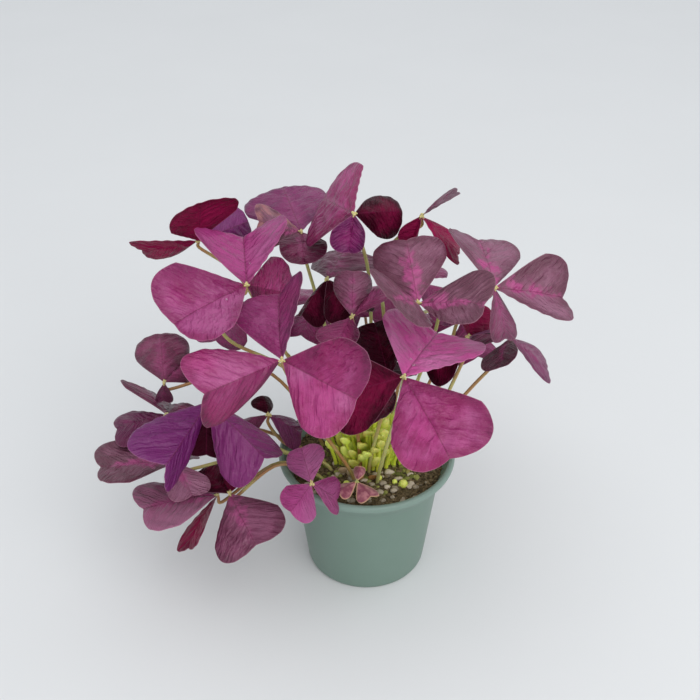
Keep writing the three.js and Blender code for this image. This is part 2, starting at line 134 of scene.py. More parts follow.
# The look of each blade, by its leaf's number: shade (0 dark, 1 light, above 1 with a painted
# sheen); how far it is the greyed kind with a bright patch on the midrib, and above 1 how far it
# has dried to tan; and its lean to violet (above 0) or to wine red (WINE or less), where the
# blade shows its underside's finish on both faces. The shades are partly each blade's own tone
# and partly painted light and shade: the near-black blades of leaf 12, the last two of leaf 14
# and the last of leaf 15 are painted shade where the plant lies deep in shadow, the bright
# crimson of leaf 7's second blade is painted light shining through it, and the high shades of
# the first blades of leaves 11 and 19 are painted light on blades that lie in the scene's shade.
PLAIN = (0.55, 0.0, 0.1)
WINE = -0.5
LOOKS = {
    1: [(1.05, 0.0, 0.2), (0.80, 0.0, 0.1), (0.50, 0.0, 0.0)],
    2: [(0.55, 0.0, 0.2), (0.65, 0.0, 0.0), (0.75, 0.0, 0.0)],
    3: [(0.95, 0.0, -1.0), (0.80, 0.0, -0.9), (0.55, 0.0, 0.8)],
    4: [(0.40, 0.2, 0.4), (0.45, 1.6, 0.0), (0.30, 0.4, 0.0)],
    5: [(0.65, 0.0, 0.0), (0.25, 0.0, -0.6), (0.40, 0.0, 0.4)],
    6: [(0.40, 1.0, 0.1), (0.30, 1.0, 0.1), (0.30, 1.0, 0.1)],
    7: [(0.30, 0.2, 0.0), (1.10, 0.0, -1.0), (0.80, 0.0, -0.6)],
    8: [(0.55, 1.0, 0.2), (0.45, 1.0, 0.2), (0.50, 0.5, 0.1)],
    9: [(1.10, 0.0, -1.0), (0.50, 0.0, 0.5), (0.30, 0.0, -1.0)],
    10: [(0.30, 0.8, 0.1), (0.50, 0.3, 0.3), (0.30, 0.0, 0.0)],
    11: [(1.50, 0.0, 0.0), (0.75, 0.0, 0.0), (0.40, 0.0, -0.6)],
    12: [(0.00, 0.0, -1.0), (0.30, 0.0, -1.0), (0.10, 0.0, -1.0)],
    13: [(0.60, 0.8, 0.0), (0.70, 0.2, 0.0), (0.50, 0.0, -0.2)],
    14: [(0.30, 0.6, -0.1), (0.20, 0.0, -0.8), (0.20, 0.0, -0.8)],
    15: [(-0.10, 0.0, 0.9), (0.80, 0.0, 0.7), (-0.20, 0.0, -1.0)],
    16: [(0.35, 0.4, -0.1), (0.30, 0.0, 0.0), (0.30, 0.3, 0.0)],
    17: [(0.10, 0.0, 0.1), (0.30, 0.4, -0.2), (0.20, 0.0, 0.0)],
    18: [(0.30, 1.0, 0.0), (0.85, 0.9, 0.1), (0.20, 0.0, -0.3)],
    19: [(1.35, 0.9, 0.0), (0.80, 0.0, -0.8), (0.20, 0.0, -0.3)],
    20: [(0.40, 0.7, 0.1), (0.50, 0.0, -0.6), (0.20, 0.0, -0.6)],
    21: [(1.25, 0.2, 0.3), (1.20, 0.0, 0.25), (1.05, 0.0, 0.2)],
    22: [(0.15, 0.0, 0.3), (0.20, 0.0, -0.9), (0.20, 0.0, -0.3)],
}

FINE, COARSE = (36, 46), (20, 28)  # rows and columns of a blade's mesh
FIRST_COARSE = 23  # the leaves from this number on are at the back

# The fine form of a blade 45 mm long, as heights in mm.
RELIEF = {"crease": 0.42, "ripple": 1.15, "lump": 0.34, "dimple": 0.2, "turn": 0.45, "flutter": 0.25}
RELIEF_LENGTH = 45
RIPPLE = {"across": 3.6, "ahead": 13}  # its size in mm
SIDE_VEIN = {"slant": 0.8, "pitch": 0.068}  # the pitch as a share of the blade's length
GROOVES = 7  # round a stalk

# The thinner stems round the shoots. Each length in mm is drawn between two bounds; a stem
# whose sine of the angle is under `front` stands at the front, and keeps closer in.
STEMS = {
    "count": 96, "to_a_turn": 16, "out": (4, 23), "height": (3, 30), "lean": (1, 6),
    "bud": (1.8, 3.4), "front": -0.4, "front_share": 0.6,
}

# ---------------------------------------------------------------- colours, linear

PURPLE = {
    "dark": (0.10, 0.004, 0.042), "rich": (0.23, 0.015, 0.100), "light": (0.39, 0.076, 0.226),
    "painted_sheen": (0.62, 0.160, 0.400), "sheen_free": (1.0, 0.36, 0.80),
    "greyed_dark": (0.12, 0.035, 0.060), "greyed": (0.28, 0.125, 0.190),
    "patch": (0.39, 0.062, 0.205), "violet": (0.16, 0.012, 0.135), "tan": (0.42, 0.17, 0.16),
    "crease": (0.12, 0.008, 0.040), "margin": (0.60, 0.270, 0.380),
    "under_dark": (0.035, 0.0008, 0.008), "under_light": (0.29, 0.007, 0.065),
}
# The shoot and bud greens are partly the young shoots' own yellow-green and partly painted light,
# standing for light through the shaded shoots.
GREEN = {
    "pale": (0.50, 0.50, 0.18), "fresh": (0.36, 0.40, 0.07), "red": (0.36, 0.09, 0.05),
    "shoot": (0.78, 0.92, 0.08), "bud": (0.84, 0.95, 0.22), "knob": (0.62, 0.52, 0.24),
}
PINK = {"dark": (0.24, 0.05, 0.09), "light": (0.48, 0.19, 0.22), "rim": (0.60, 0.35, 0.22)}
EARTH = {
    "dark": (0.050, 0.036, 0.018), "light": (0.240, 0.180, 0.095),
    "grit_dark": (0.13, 0.10, 0.06), "grit_light": (0.60, 0.52, 0.40),
    "moss_dark": (0.10, 0.11, 0.025), "moss_light": (0.32, 0.33, 0.09),
    "husk_dark": (0.30, 0.13, 0.03), "husk_light": (0.62, 0.50, 0.33),
}
WATER = {"tinted": (0.93, 0.78, 0.86), "clear": (0.97, 0.84, 0.91)}
PLASTIC = {"body": (0.135, 0.210, 0.170), "pale": (0.200, 0.285, 0.245)}
FLOOR = {"one": (0.72, 0.73, 0.74), "two": (0.75, 0.76, 0.77)}

# How far each thing lightens a blade: the cloud is partly the blade's own uneven tone and partly
# painted sheen, the wave is painted highlight on the wrinkles' crests and painted shade in their
# hollows, and the margin's share darkens the margin against a middle painted paler as a sheen; and the
# bright patch on a greyed blade's midrib, with its measures as shares of the blade's length.
TONE = {"cloud": 1.0, "mottle": 0.25, "speckle": 0.3, "wave": 0.28, "margin": -0.3, "veins": 0.06}
PATCH = {"half_width": 0.14, "widest_at": 0.40, "taper": 0.28, "ragged": 0.46}
SHINE = {"upper": 0.38, "under": 0.05}

# ---------------------------------------------------------------- camera, light and floor

CAMERA = {"place": (-10.0, -489.7, 474.9), "down": 33.5, "lens": 54, "nearest": 10}
KEY = {"place": (-300, -300, 2600), "size": 2.4, "power": 7, "colour": (1.0, 0.98, 0.96)}
FILL = {"place": (700, -1350, 1350), "size": 2.0, "power": 19, "colour": (1.0, 0.99, 0.97)}
SKY = {"colour": (0.94, 0.97, 1.0), "strength": 0.80}
LIGHT_AIM = (0, 0, 120)
FLOOR_HALF = 4.0  # in metres


def set_camera():
    camera = bpy.data.objects.new("camera", bpy.data.cameras.new("camera"))
    camera.data.lens = CAMERA["lens"]
    camera.data.clip_start = CAMERA["nearest"] * MM
    camera.location = Vector(CAMERA["place"]) * MM
    camera.rotation_euler = (math.radians(90 - CAMERA["down"]), 0, 0)
    bpy.context.scene.collection.objects.link(camera)
    bpy.context.scene.camera = camera


def add_light(name, light):
    data = bpy.data.lights.new(name, "AREA")
    data.shape = "DISK"
    data.size = light["size"]
    data.energy = light["power"]
    data.color = light["colour"]
    lamp = bpy.data.objects.new(name, data)
    lamp.location = Vector(light["place"]) * MM
    aim = Vector(LIGHT_AIM) * MM - lamp.location
    lamp.rotation_euler = aim.to_track_quat("-Z", "Y").to_euler()
    bpy.context.scene.collection.objects.link(lamp)


def set_sky():
    world = bpy.data.worlds.new("sky")
    world.use_nodes = True
    background = world.node_tree.nodes["Background"]
    background.inputs["Color"].default_value = (*SKY["colour"], 1)
    background.inputs["Strength"].default_value = SKY["strength"]
    bpy.context.scene.world = world
    bpy.context.scene.view_settings.view_transform = "Standard"


# ---------------------------------------------------------------- materials


class Finish:
    """A material's nodes, with one short call for each kind used here."""

    def __init__(self, name, **constants):
        self.material = bpy.data.materials.new(name)
        self.material.use_nodes = True
        self.tree = self.material.node_tree
        self.shader = self.tree.nodes["Principled BSDF"]
        for socket, value in constants.items():
            self.shader.inputs[socket.replace("_", " ")].default_value = value
        self.place = self.node("ShaderNodeTexCoord").outputs["Object"]

    def put(self, socket, value):
        if isinstance(value, bpy.types.NodeSocket):
            self.tree.links.new(value, socket)
        elif isinstance(value, tuple) and len(value) == 3 and socket.type == "RGBA":
            socket.default_value = (*value, 1)
        else:
            socket.default_value = value

    def node(self, kind, inputs=None, **settings):
        node = self.tree.nodes.new(kind)
        for key, value in settings.items():
            setattr(node, key, value)
        for key, value in (inputs or {}).items():
            self.put(node.inputs[key], value)
        return node

    def split(self, name):
        """The three numbers of a mesh attribute."""
        attribute = self.node("ShaderNodeAttribute", attribute_name=name)
        parts = self.node("ShaderNodeSeparateXYZ", {0: attribute.outputs["Vector"]})
        return list(parts.outputs)

    def sum(self, a, b, weight=1.0):
        """a + b * weight."""
        return self.node("ShaderNodeMath", {0: b, 1: weight, 2: a}, operation="MULTIPLY_ADD").outputs[0]

    def calc(self, operation, a, b=0.0):
        return self.node("ShaderNodeMath", {0: a, 1: b}, operation=operation).outputs[0]

    def ease(self, value, low, high):
        """0 at low, 1 at high, eased between them."""
        inputs = {"Value": value, "From Min": low, "From Max": high}
        return self.node("ShaderNodeMapRange", inputs, interpolation_type="SMOOTHSTEP").outputs[0]

    def times(self, a, b):
        return self.calc("MULTIPLY", a, b)

    def minus(self, a, b):
        return self.calc("SUBTRACT", a, b)

    def mix(self, share, a, b, blend="MIX"):
        """The colour a where the share is 0, and b where it is 1."""
        inputs = {0: share, 6: a, 7: b}  # 6 and 7 are the node's sockets for colours
        return self.node("ShaderNodeMix", inputs, data_type="RGBA", blend_type=blend).outputs[2]

    def steps(self, value, low, middle, high):
        """low at 0, middle at a half and high at 1."""
        first = self.mix(self.ease(value, 0.0, 0.5), low, middle)
        return self.mix(self.ease(value, 0.5, 1.0), first, high)

    def noise(self, size, detail=2.0, roughness=0.5):
        """Smooth noise from 0 to 1 whose features are about `size` mm across."""
        inputs = {"Vector": self.place, "Scale": 1 / (size * MM), "Detail": detail,
                  "Roughness": roughness}
        return self.node("ShaderNodeTexNoise", inputs).outputs["Fac"]

    def finish(self, colour, roughness=None, relief=None, depth=0.1):
        """Joins the shader. relief is a height from 0 to 1, and depth its size in mm."""
        self.put(self.shader.inputs["Base Color"], colour)
        if roughness is not None:
            self.put(self.shader.inputs["Roughness"], roughness)
        if relief is not None:
            bump = self.node("ShaderNodeBump", {"Height": relief, "Distance": depth * MM})
            self.put(self.shader.inputs["Normal"], bump.outputs[0])
        return self.material


def vein_height(f, spread, reach):
    """Eased ridges that leave the midrib aslant: 1 on a side vein, 0 between."""
    place = f.sum(reach, spread, -SIDE_VEIN["slant"])
    wobble = f.sum(place, f.noise(9, 1), 0.02)
    turn = f.calc("FRACT", f.calc("DIVIDE", wobble, SIDE_VEIN["pitch"]))
    return f.ease(f.calc("ABSOLUTE", f.minus(turn, 0.5)), 0.34, 0.5)


def wrinkle_wave(f, spread, reach):
    """Uneven waves that run aslant like the side veins, from 0 to 1."""
    aslant = f.sum(f.sum(reach, spread, -SIDE_VEIN["slant"]), f.noise(9, 2), 0.14)
    across = f.calc("DIVIDE", aslant, 0.055)
    ahead = f.calc("DIVIDE", f.sum(spread, reach, SIDE_VEIN["slant"]), 0.5)
    drift = f.times(f.noise(70, 0), 25.0)  # makes every blade's waves its own
    place = f.node("ShaderNodeCombineXYZ", {0: across, 1: ahead, 2: drift})
    inputs = {"Vector": place.outputs[0], "Scale": 1.0, "Detail": 1.5}
    return f.node("ShaderNodeTexNoise", inputs).outputs["Fac"]


def greyed_over(f, colour, light, marked):
    """The colour with the greyed kind's brown over it, as far as the blade is of that kind."""
    grey = f.mix(f.ease(light, 0.1, 0.8), PURPLE["greyed_dark"], PURPLE["greyed"])
    return f.mix(f.times(marked, 0.85), colour, grey)


def midrib_patch(f, spread, reach, veins):
    """A patch that is widest part of the way out and feathers out along the side veins."""
    off = f.calc("ABSOLUTE", f.minus(reach, PATCH["widest_at"]))
    width = f.sum(PATCH["half_width"], off, -PATCH["taper"])
    edge = f.sum(f.minus(spread, width), veins, -0.03)
    edge = f.sum(edge, f.noise(7, 3, 0.6), PATCH["ragged"])
    return f.times(f.ease(edge, 0.30, 0.16), f.ease(f.noise(5, 2, 0.5), 0.3, 0.55))


def blade_finish(name, under):
    """The upper side or underside of a blade. The mesh attribute blade holds the distance
    from the midrib and the reach, both as shares of the length, and the distance from the
    margin in mm; tone holds the blade's look."""
    f = Finish(name, Specular_IOR_Level=SHINE["under" if under else "upper"])
    spread, reach, margin = f.split("blade")
    shade, marked, violet = f.split("tone")
    cloud = f.noise(14, 3, 0.6)
    veins = vein_height(f, spread, reach)
    wave = wrinkle_wave(f, spread, reach)
    # The cloud lightens partly as the blade's own uneven tone and partly as painted sheen; the wave is
    # painted highlight and shade on the wrinkles.
    changes = {"cloud": cloud, "mottle": f.noise(4, 3, 0.6), "speckle": f.noise(0.8, 3, 0.7),
               "wave": wave}
    light = shade
    for label, change in changes.items():
        light = f.sum(light, f.minus(change, 0.5), TONE[label])
    # Painted sheen: darker towards the margin and paler in the middle.
    light = f.sum(light, f.ease(margin, 8.0, 0.0), TONE["margin"])
    light = f.sum(light, veins, TONE["veins"])
    if under:
        colour = f.mix(light, PURPLE["under_dark"], PURPLE["under_light"])
    else:
        colour = f.steps(light, PURPLE["dark"], PURPLE["rich"], PURPLE["light"])
        # Shades above 1 mix in a pale painted sheen, lightening blades that lie in the scene's shade.
        colour = f.mix(f.ease(shade, 1.0, 1.7), colour, PURPLE["painted_sheen"])
        # Broad areas of a purer magenta beside the mauve: painted sheen, with the mauve standing for
        # the sky's reflection, laid out at random.
        sheen_free = f.times(f.ease(f.noise(30, 1), 0.40, 0.60), 0.7)
        colour = f.mix(sheen_free, colour, PURPLE["sheen_free"], "MULTIPLY")
        colour = f.mix(f.calc("MAXIMUM", violet, 0.0), colour, PURPLE["violet"])
        tan = f.calc("MAXIMUM", f.minus(marked, 1.0), 0.0)
        marked = f.calc("MINIMUM", marked, 1.0)
        colour = greyed_over(f, colour, light, marked)
        patch = f.times(midrib_patch(f, spread, reach, veins), marked)
        colour = f.mix(patch, colour, PURPLE["patch"])
        dried = f.times(tan, f.ease(cloud, 0.42, 0.58))
        colour = f.mix(dried, colour, PURPLE["tan"])
        dots = f.ease(f.noise(0.55, 2, 0.6), 0.6, 0.72)
        colour = f.mix(f.times(dots, 0.14), colour, PURPLE["margin"])
    crease = f.ease(spread, 0.012, 0.003)
    colour = f.mix(f.times(crease, 0.5), colour, PURPLE["crease"])
    # A painted edge highlight: a thin pale line along the margin.
    rim = f.ease(margin, 0.4, 0.1)
    colour = f.mix(f.times(rim, 0.22), colour, PURPLE["margin"])
    relief = f.sum(f.times(veins, 0.25), f.noise(1.6, 4, 0.65), 0.8)
    return f.finish(colour, f.sum(0.26, cloud, 0.2), f.sum(relief, wave, 4.0), 0.42)


def stalk_finish(name, low, high, blush):
    """low at the foot and high at the top, with the share `blush` of red. The attribute
    stem holds the height along the stalk, the turn round it and its own random number."""
    f = Finish(name, Specular_IOR_Level=0.4, Roughness=0.42, Subsurface_Weight=0.15,
               Subsurface_Scale=0.002)
    height, turn, own = f.split("stem")
    colour = f.mix(height, low, high)
    red = f.ease(f.sum(f.sum(f.noise(16, 2), own, 0.5), height, 0.15), 0.62, 0.98)
    colour = f.mix(f.times(red, blush), colour, GREEN["red"])
    colour = f.mix(f.times(f.noise(1.2, 3), 0.25), colour, GREEN["fresh"])
    grooves = f.calc("SINE", f.times(turn, 2 * math.pi * GROOVES))
    return f.finish(colour, None, f.sum(grooves, f.noise(2, 3), 1.5), 0.06)


def young_blade_finish():
    f = Finish("young_blade", Specular_IOR_Level=0.35, Sheen_Weight=0.2, Roughness=0.5)
    spread, _, margin = f.split("blade")
    colour = f.mix(f.ease(f.noise(3, 3), 0.35, 0.7), PINK["dark"], PINK["light"])
    colour = f.mix(f.ease(spread, 0.05, 0.0), colour, PINK["dark"])
    colour = f.mix(f.ease(margin, 0.9, 0.2), colour, PINK["rim"])
    return f.finish(colour, None, f.noise(1.2, 3), 0.12)


def soil_finish():
    f = Finish("compost", Roughness=0.95, Specular_IOR_Level=0.2)
    grains = f.node("ShaderNodeTexVoronoi", {"Vector": f.place, "Scale": 1 / (1.3 * MM)})
    light = f.sum(f.noise(2.4, 5, 0.7), grains.outputs["Distance"], 0.3)
    colour = f.mix(f.ease(light, 0.45, 0.95), EARTH["dark"], EARTH["light"])
    return f.finish(colour, None, f.sum(grains.outputs["Distance"], f.noise(0.7, 3)), 0.5)


def bits_finish(name, dark, light, roughness):
    """Loose bits; the attribute stem's last number is each bit's own."""
    f = Finish(name, Roughness=roughness, Specular_IOR_Level=0.25)
    own = f.split("stem")[2]
    share = f.sum(f.times(own, 0.8), f.noise(1.1, 4, 0.7), 0.5)
    colour = f.mix(f.ease(share, 0.1, 1.0), dark, light)
    return f.finish(colour, None, f.noise(0.6, 4), 0.25)


def plastic_finish():
    f = Finish("pot_plastic", Specular_IOR_Level=0.5, Coat_Weight=0.08, Coat_Roughness=0.35)
    height = f.node("ShaderNodeSeparateXYZ", {0: f.place}).outputs[2]
    worn = f.noise(35, 3, 0.6)
    upper = f.ease(height, 66 * MM, 79 * MM)  # the flare and the lip are paler
    pale = f.sum(f.times(upper, 0.6), worn, 0.5)
    colour = f.mix(pale, PLASTIC["body"], PLASTIC["pale"])
    dust = f.ease(f.noise(1.5, 5, 0.7), 0.62, 0.8)
    colour = f.mix(f.times(dust, 0.1), colour, EARTH["grit_light"])
    return f.finish(colour, f.sum(0.36, worn, 0.18), f.noise(0.9, 3, 0.6), 0.02)


def floor_finish():
    f = Finish("floor", Roughness=0.75, Specular_IOR_Level=0.2)
    colour = f.mix(f.noise(160, 3, 0.5), FLOOR["one"], FLOOR["two"])
    return f.finish(colour)


# ---------------------------------------------------------------- mesh helpers


class Shape:
    """Parts gathered into one mesh: points in mm, faces, the number of each face's material,
    and two vectors a point."""

    def __init__(self):
        self.points, self.faces, self.kinds, self.marks, self.tones = [], [], [], [], []
        self.count = 0

    def add(self, points, faces, kinds, marks=None, tone=(0, 0, 0)):
        points = np.asarray(points, float).reshape(-1, 3)
        self.points.append(points)
        self.faces += [tuple(k + self.count for k in face) for face in faces]
        self.kinds += [kinds] * len(faces) if isinstance(kinds, int) else list(kinds)
        self.marks.append(np.zeros((len(points), 3)) if marks is None else np.asarray(marks, float))
        self.tones.append(np.broadcast_to(np.asarray(tone, float), (len(points), 3)))
        self.count += len(points)

    def build(self, name, materials, nodes=(), mark="blade", crisp=40):
        mesh = bpy.data.meshes.new(name)
        mesh.from_pydata((np.concatenate(self.points) * MM).tolist(), [], self.faces)
        for material in materials:
            mesh.materials.append(material)
        mesh.polygons.foreach_set("material_index", self.kinds)
        for label, rows in ((mark, self.marks), ("tone", self.tones)):
            attribute = mesh.attributes.new(label, "FLOAT_VECTOR", "POINT")
            attribute.data.foreach_set("vector", np.concatenate(rows).astype(np.float32).ravel())
        mesh.polygons.foreach_set("use_smooth", [True] * len(mesh.polygons))
        mesh.set_sharp_from_angle(angle=math.radians(crisp))
        mesh.update()
        piece = bpy.data.objects.new(name, mesh)
        bpy.context.scene.collection.objects.link(piece)
        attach(piece, "root")
        if nodes:
            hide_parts(*nodes)
        return piece


def unit(vector):
    return vector / np.linalg.norm(vector)


def ball(level):
    """A sphere of unit radius: its points and faces."""
    sphere = bmesh.new()
    bmesh.ops.create_icosphere(sphere, subdivisions=level, radius=1)
    points = np.array([v.co[:] for v in sphere.verts])
    faces = [tuple(v.index for v in face.verts) for face in sphere.faces]
    sphere.free()
    return points, faces


BALLS = {level: ball(level) for level in (1, 2, 3)}


def turned_to(axis):
    """A matrix that turns +Z to the axis."""
    return np.array(Vector((0, 0, 1)).rotation_difference(Vector(axis)).to_matrix())


def stem_line(points, steps):
    """A centripetal Catmull-Rom line through the points, as the solids' stalks follow."""
    points = [np.array(p, float) for p in points]
    points = [2 * points[0] - points[1], *points, 2 * points[-1] - points[-2]]
    line = []
    for k in range(1, len(points) - 2):
        p0, p1, p2, p3 = points[k - 1:k + 3]
        d0, d1, d2 = (math.sqrt(np.linalg.norm(b - a)) for a, b in ((p0, p1), (p1, p2), (p2, p3)))
        m1 = d1 * ((p1 - p0) / d0 - (p2 - p0) / (d0 + d1) + (p2 - p1) / d1)
        m2 = d1 * ((p2 - p1) / d1 - (p3 - p1) / (d1 + d2) + (p3 - p2) / d2)
        t = np.linspace(0, 1, steps, endpoint=False)[:, None]
        line.append(p1 + m1 * t + (3 * (p2 - p1) - 2 * m1 - m2) * t**2
                    + (2 * (p1 - p2) + m1 + m2) * t**3)
    return np.concatenate([*line, points[-2][None]])


def add_tube(shape, line, radii, kind, sides=10, own=0.0, span=(0, 1)):
    """A tube with closed ends. Its marks are the height along it, the turn and own."""
    count = len(line)
    radii = np.broadcast_to(radii, (count,))
    ahead = np.gradient(line, axis=0)
    side = unit(np.cross(ahead[0], (0.3, 1, 0.1)))  # any direction that no line starts in
    rings, marks = [], []
    for k in range(count):
        forward = unit(ahead[k])
        side = unit(side - forward * side.dot(forward))
        other = np.cross(forward, side)
        height = span[0] + (span[1] - span[0]) * k / (count - 1)
        for j in range(sides):
            angle = 2 * math.pi * j / sides
            rings.append(line[k] + radii[k] * (side * math.cos(angle) + other * math.sin(angle)))
            marks.append((height, j / sides, own))
    faces = [(k * sides + j, k * sides + (j + 1) % sides,
              (k + 1) * sides + (j + 1) % sides, (k + 1) * sides + j)
             for k in range(count - 1) for j in range(sides)]
    faces.append(tuple(range(sides - 1, -1, -1)))
    faces.append(tuple((count - 1) * sides + j for j in range(sides)))
    shape.add(rings, faces, kind, marks)


def add_lump(shape, level, centre, radii, axis, kind, own=0.0, rough=0.0, lobes=0.0):
    """A ball drawn out along an axis, with an uneven or lobed surface."""
    points, faces = BALLS[level]
    size = np.ones(len(points))
    if rough:
        size += rough * (rng.random(len(points)) - 0.5) * 2
    if lobes:
        size += lobes * np.cos(3 * np.arctan2(points[:, 1], points[:, 0])) * (1 - points[:, 2] ** 2)
    placed = (points * size[:, None] * np.asarray(radii, float)) @ turned_to(axis).T
    marks = np.stack([(points[:, 2] + 1) / 2, np.zeros(len(points)), np.full(len(points), own)], 1)
    shape.add(placed + np.asarray(centre, float), faces, kind, marks)


# ---------------------------------------------------------------- leaflets


def blade_axes(heading, rise, roll):
    """The directions ahead, to the right and up of a blade."""
    h, r, turn = (math.radians(angle) for angle in (heading, rise, roll))
    forward = np.array([math.cos(r) * math.cos(h), math.cos(r) * math.sin(h), math.sin(r)])
    level = np.array([math.sin(h), -math.cos(h), 0.0])
    right = level * math.cos(turn) - np.cross(level, forward) * math.sin(turn)
    return forward, right, np.cross(right, forward)


def outline_at(t):
    """The half outline's spread and reach, from the notch at 0 to the lobe's foot at 1."""
    s = 1 - t
    weights = np.stack([s**3, 3 * s * s * t, 3 * s * t * t, t**3], -1)
    return weights @ HALF_OUTLINE


def blade_phase(index, k):
    """Sets the wave of blade k of a leaf; the index is the leaf's number less one."""
    return index * PHASE["leaf"] + k * PHASE["blade"]


def blade_surface(hub, blade, phase, along, across):
    """The blade's middle surface, with each point's spread and reach in mm. The form is the
    solid's; relief is added afterwards."""
    heading, rise, roll, fold, length = blade
    forward, right, up = blade_axes(heading, rise, roll)
    side = np.abs(across)
    edge = outline_at(side)
    reach = along * edge[..., 1] * length
    belly = 1 + BLADE["belly"] * np.sin(np.pi * along) * side
    spread = along * edge[..., 0] * BLADE["half_width"] * length * belly
    hang = np.radians(fold * (BLADE["fold_near"] + BLADE["fold_out"] * along * side))
    sag = BLADE["arch"] * (reach * BLADE["arch_rise"] - reach**2 / length)
    swing = np.sin(BLADE["waves"] * across + phase)
    wave = BLADE["wave"] * length * along**2 * side * swing
    points = (np.asarray(hub, float) + reach[..., None] * forward
              + (np.sign(across) * spread * np.cos(hang))[..., None] * right
              + (sag + wave - spread * np.sin(hang))[..., None] * up)
    return points, spread, reach


def eased(value, low, high):
    t = np.clip((value - low) / (high - low), 0, 1)
    return t * t * (3 - 2 * t)


def ripples(signed, reach, phase):
    """Uneven ripples that run aslant like the side veins, from about -1 to 1."""
    aslant = reach - SIDE_VEIN["slant"] * np.abs(signed)
    ahead = SIDE_VEIN["slant"] * reach + signed
    places = np.stack([aslant / RIPPLE["across"], ahead / RIPPLE["ahead"],
                       np.full(reach.shape, phase * 7)], -1)
    flat = [noise.noise(Vector(place)) for place in places.reshape(-1, 3).tolist()]
    return 1.7 * np.array(flat).reshape(reach.shape)


def blade_relief(across, spread, reach, margin, length, phase):
    """Height of the fine form above the middle surface, in mm: the creased midrib, uneven
    ripples between side veins, soft lumps and a margin that turns down."""
    size = length / RELIEF_LENGTH
    signed = np.sign(across) * spread
    crease = -RELIEF["crease"] * np.exp(-((spread / 0.9) ** 2)) * np.clip(1.2 - reach / length, 0, 1)
    ripple = ripples(signed, reach, phase) * eased(margin, 0.3, 5 * size)
    ripple *= (0.45 + 0.55 * np.exp(-spread / 9)) * eased(spread, 0.2, 2.5 * size)
    lumps = RELIEF["lump"] * np.sin(0.23 * signed + phase * 3) * np.sin(0.19 * reach + phase * 5)
    lumps += RELIEF["dimple"] * np.sin(0.45 * signed - 0.38 * reach + phase * 7)
    flutter = np.sin(0.5 * (reach + 1.7 * signed) + phase * 11)
    turn = RELIEF["flutter"] * np.exp(-margin / 2.5) * flutter - RELIEF["turn"] * np.exp(-margin / 1.3)
    return size * (crease + RELIEF["ripple"] * ripple + lumps * eased(margin, 0, 4) + turn)


def add_blade(shape, hub, blade, phase, grid, tone, kinds=(0, 1), thickness=0.5):
    """One leaflet as a thin closed sheet, thinner at its margin."""
    rows, columns = grid
    length = blade[4]
    along, across = np.meshgrid(np.linspace(BLADE["start"], 1, rows + 1),
                                np.linspace(-1, 1, columns + 1), indexing="ij")
    points, spread, reach = blade_surface(hub, blade, phase, along, across)
    # About the distance from the margin.
    margin = length * np.minimum((1 - along) * 1.1, 0.73 * along * (1 - np.abs(across)))
    normal = np.cross(np.gradient(points, axis=1), np.gradient(points, axis=0))
    normal /= np.linalg.norm(normal, axis=-1, keepdims=True) + 1e-12
    height = blade_relief(across, spread, reach, margin, length, phase)
    half = thickness / 2 * (0.45 + 0.55 * eased(margin, 0, 2.5))
    top = points + normal * (height + half)[..., None]
    low = points + normal * (height - half)[..., None]

    wide = columns + 1
    count = (rows + 1) * wide
    faces = []
    for i in range(rows):
        for j in range(columns):
            a = i * wide + j
            faces.append((a, a + 1, a + wide + 1, a + wide))
    under = [tuple(count + k for k in reversed(face)) for face in faces]
    border = [*(range(wide)), *(i * wide + columns for i in range(1, rows + 1)),
              *(rows * wide + j for j in range(columns - 1, -1, -1)),
              *(i * wide for i in range(rows - 1, 0, -1))]
    walls = [(b, a, count + a, count + b) for a, b in zip(border, border[1:] + border[:1])]
    kinds = [kinds[0]] * len(faces) + [kinds[1]] * len(under) + [kinds[0]] * len(walls)
    marks = np.stack([spread / length, reach / length, margin], -1).reshape(-1, 3)
    # Painted light: the half that faces the sky is painted paler and the half turned away darker,
    # standing for the sky's sheen and shade.
    painted_sky_light = np.abs(normal[..., 2]) - np.abs(normal[..., 2]).mean()
    tones = np.tile(np.asarray(tone, float), (painted_sky_light.size, 1))
    if kinds[0] == 0:
        tones[:, 0] += np.clip(0.6 * painted_sky_light.ravel(), -0.16, 0.16)
    shape.add(np.concatenate([top.reshape(-1, 3), low.reshape(-1, 3)]), faces + under + walls,
              kinds, np.tile(marks, (2, 1)), np.tile(tones, (2, 1)))


def stalk_approach(blades):
    """The direction in which a stalk comes up to its hub."""
    ups = sum(blade_axes(*blade[:3])[2] for blade in blades)
    return unit(unit(ups) + np.array([0, 0, 1.0]))


def add_hub(shape, hub, blades, kind, size=1.0):
    """The small cluster of knobs where the leaflets meet, with the short stalk of each."""
    hub = np.asarray(hub, float)
    add_lump(shape, 2, hub, (1.0 * size, 1.0 * size, 0.9 * size), (0, 0, 1), kind, 0.4, 0.05)
    for blade in blades:
        forward, right, up = blade_axes(*blade[:3])
        reach = np.array([0, 0.8, 1.5, 2.2])[:, None] * size
        line = hub + forward * reach + up * (reach * 0.05 - 0.1)
        add_tube(shape, line, np.array([0.7, 0.65, 0.5, 0.3]) * size, kind, 8, 0.5, (0.8, 1))
        knob = hub + (forward * 0.75 + right * rng.uniform(-0.4, 0.4) + up * 0.55) * size
        wide = rng.uniform(0.6, 0.85) * size
        add_lump(shape, 2, knob, (wide, wide, wide), up, kind, rng.random(), 0.05)


def make_leaf(number, leaf, materials):
    hub, _, _, blades = leaf
    shape = Shape()
    grid = COARSE if number >= FIRST_COARSE else FINE
    for k, blade in enumerate(blades):
        look = LOOKS[number][k] if number in LOOKS else PLAIN
        kinds = (1, 1) if look[2] <= WINE else (0, 1)
        add_blade(shape, hub, blade, blade_phase(number - 1, k), grid, look, kinds)
    add_hub(shape, hub, blades, 2)
    shape.build(f"leaflets_{number:02d}", materials, [f"leaf_{number:02d}"])


